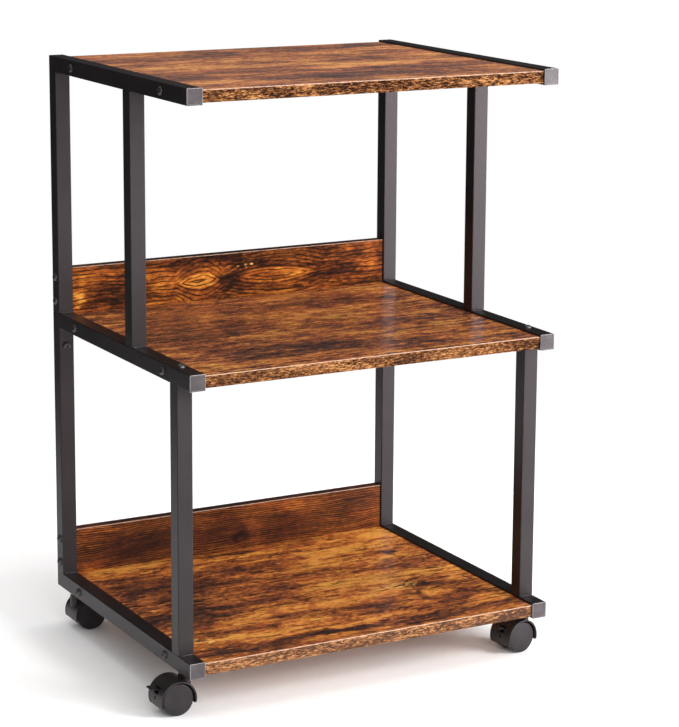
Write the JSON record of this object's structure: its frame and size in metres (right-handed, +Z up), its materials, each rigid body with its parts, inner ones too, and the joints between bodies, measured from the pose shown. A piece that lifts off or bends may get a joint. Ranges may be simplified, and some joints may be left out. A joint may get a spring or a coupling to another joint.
{
  "type": "mobile printer stand",
  "caption": "Open printer stand on swivel casters: black square tube side frames, rustic brown shelves and low back panels.",
  "frame": {"origin": "on the floor under the middle of the stand, between the middle rails' front and the rear posts' back", "axes": "+Z up, -Y towards the open front, +X to the stand's right as seen from the front"},
  "size_m": [0.5658, 0.414, 0.75],
  "materials": {
    "powder_coat": "matte",
    "plain_steel": "satin",
    "cap_plastic": "satin",
    "black_bolts": "satin",
    "rustic_board": "satin",
    "edge_band": "satin",
    "zinc_inserts": "satin",
    "caster_plastic": "satin",
    "wheel_plastic": "satin",
    "lever_plastic": "satin"
  },
  "bodies": {
    "frame": {"left_top_rail": "powder_coat", "left_middle_rail": "powder_coat", "left_bottom_rail": "powder_coat", "left_upper_rear_post": "powder_coat", "left_lower_rear_post": "powder_coat", "left_upper_front_post": "powder_coat", "left_lower_front_post": "powder_coat", "left_rear_splice_insert": "plain_steel", "right_top_rail": "powder_coat", "right_middle_rail": "powder_coat", "right_bottom_rail": "powder_coat", "right_upper_rear_post": "powder_coat", "right_lower_rear_post": "powder_coat", "right_upper_front_post": "powder_coat", "right_lower_front_post": "powder_coat", "right_rear_splice_insert": "plain_steel", "rail_end_caps": "cap_plastic", "front_post_nut_plates": "plain_steel", "frame_joint_bolts": "black_bolts", "top_shelf": "rustic_board", "middle_shelf": "rustic_board", "bottom_shelf": "rustic_board", "middle_back_panel": "rustic_board", "lower_back_panel": "rustic_board", "top_shelf_edge_band": "edge_band", "middle_shelf_edge_band": "edge_band", "bottom_shelf_edge_band": "edge_band", "middle_back_panel_edge_band": "edge_band", "lower_back_panel_edge_band": "edge_band", "shelf_bolts": "black_bolts", "shelf_bolt_inserts": "zinc_inserts", "panel_bolts": "black_bolts", "panel_bolt_inserts": "zinc_inserts", "caster_stems": "plain_steel", "caster_weld_nuts": "plain_steel", "caster_retaining_rings": "plain_steel"},
    "front_left_caster_fork": {"front_left_caster_housing": "caster_plastic", "front_left_caster_axle": "plain_steel"},
    "front_left_caster_outer_wheel": {"front_left_caster_outer_wheel": "wheel_plastic"},
    "front_left_caster_inner_wheel": {"front_left_caster_inner_wheel": "wheel_plastic"},
    "front_left_caster_brake_lever": {"front_left_caster_brake_lever": "lever_plastic"},
    "front_right_caster_fork": {"front_right_caster_housing": "caster_plastic", "front_right_caster_axle": "plain_steel"},
    "front_right_caster_outer_wheel": {"front_right_caster_outer_wheel": "wheel_plastic"},
    "front_right_caster_inner_wheel": {"front_right_caster_inner_wheel": "wheel_plastic"},
    "front_right_caster_brake_lever": {"front_right_caster_brake_lever": "lever_plastic"},
    "rear_left_caster_fork": {"rear_left_caster_housing": "caster_plastic", "rear_left_caster_axle": "plain_steel"},
    "rear_left_caster_outer_wheel": {"rear_left_caster_outer_wheel": "wheel_plastic"},
    "rear_left_caster_inner_wheel": {"rear_left_caster_inner_wheel": "wheel_plastic"},
    "rear_right_caster_fork": {"rear_right_caster_housing": "caster_plastic", "rear_right_caster_axle": "plain_steel"},
    "rear_right_caster_outer_wheel": {"rear_right_caster_outer_wheel": "wheel_plastic"},
    "rear_right_caster_inner_wheel": {"rear_right_caster_inner_wheel": "wheel_plastic"}
  },
  "joints": [
    {"name": "front_left_caster_swivel", "type": "hinge", "parent": "frame", "child": "front_left_caster_fork", "pos_m": [-0.24, -0.165, 0.045], "axis": [0, 0, 1], "continuous": true},
    {"name": "front_left_caster_outer_wheel_spin", "type": "hinge", "parent": "front_left_caster_fork", "child": "front_left_caster_outer_wheel", "pos_m": [-0.2555, -0.165, 0.02], "axis": [0, -1, 0], "continuous": true},
    {"name": "front_left_caster_inner_wheel_spin", "type": "hinge", "parent": "front_left_caster_fork", "child": "front_left_caster_inner_wheel", "pos_m": [-0.2555, -0.165, 0.02], "axis": [0, -1, 0], "continuous": true},
    {"name": "front_left_caster_brake", "type": "hinge", "parent": "front_left_caster_fork", "child": "front_left_caster_brake_lever", "pos_m": [-0.2685, -0.165, 0.029], "axis": [0, -1, 0], "range_deg": [0, 18]},
    {"name": "front_right_caster_swivel", "type": "hinge", "parent": "frame", "child": "front_right_caster_fork", "pos_m": [0.24, -0.165, 0.045], "axis": [0, 0, 1], "continuous": true},
    {"name": "front_right_caster_outer_wheel_spin", "type": "hinge", "parent": "front_right_caster_fork", "child": "front_right_caster_outer_wheel", "pos_m": [0.22469, -0.16742, 0.02], "axis": [0.1564, -0.9877, 0], "continuous": true},
    {"name": "front_right_caster_inner_wheel_spin", "type": "hinge", "parent": "front_right_caster_fork", "child": "front_right_caster_inner_wheel", "pos_m": [0.22469, -0.16742, 0.02], "axis": [0.1564, -0.9877, 0], "continuous": true},
    {"name": "front_right_caster_brake", "type": "hinge", "parent": "front_right_caster_fork", "child": "front_right_caster_brake_lever", "pos_m": [0.21185, -0.16946, 0.029], "axis": [0.1564, -0.9877, 0], "range_deg": [0, 18]},
    {"name": "rear_left_caster_swivel", "type": "hinge", "parent": "frame", "child": "rear_left_caster_fork", "pos_m": [-0.24, 0.169, 0.045], "axis": [0, 0, 1], "continuous": true},
    {"name": "rear_left_caster_outer_wheel_spin", "type": "hinge", "parent": "rear_left_caster_fork", "child": "rear_left_caster_outer_wheel", "pos_m": [-0.2245, 0.169, 0.02], "axis": [0, 1, 0], "continuous": true},
    {"name": "rear_left_caster_inner_wheel_spin", "type": "hinge", "parent": "rear_left_caster_fork", "child": "rear_left_caster_inner_wheel", "pos_m": [-0.2245, 0.169, 0.02], "axis": [0, 1, 0], "continuous": true},
    {"name": "rear_right_caster_swivel", "type": "hinge", "parent": "frame", "child": "rear_right_caster_fork", "pos_m": [0.24, 0.169, 0.045], "axis": [0, 0, 1], "continuous": true},
    {"name": "rear_right_caster_outer_wheel_spin", "type": "hinge", "parent": "rear_right_caster_fork", "child": "rear_right_caster_outer_wheel", "pos_m": [0.2555, 0.169, 0.02], "axis": [0, 1, 0], "continuous": true},
    {"name": "rear_right_caster_inner_wheel_spin", "type": "hinge", "parent": "rear_right_caster_fork", "child": "rear_right_caster_inner_wheel", "pos_m": [0.2555, 0.169, 0.02], "axis": [0, 1, 0], "continuous": true}
  ]
}
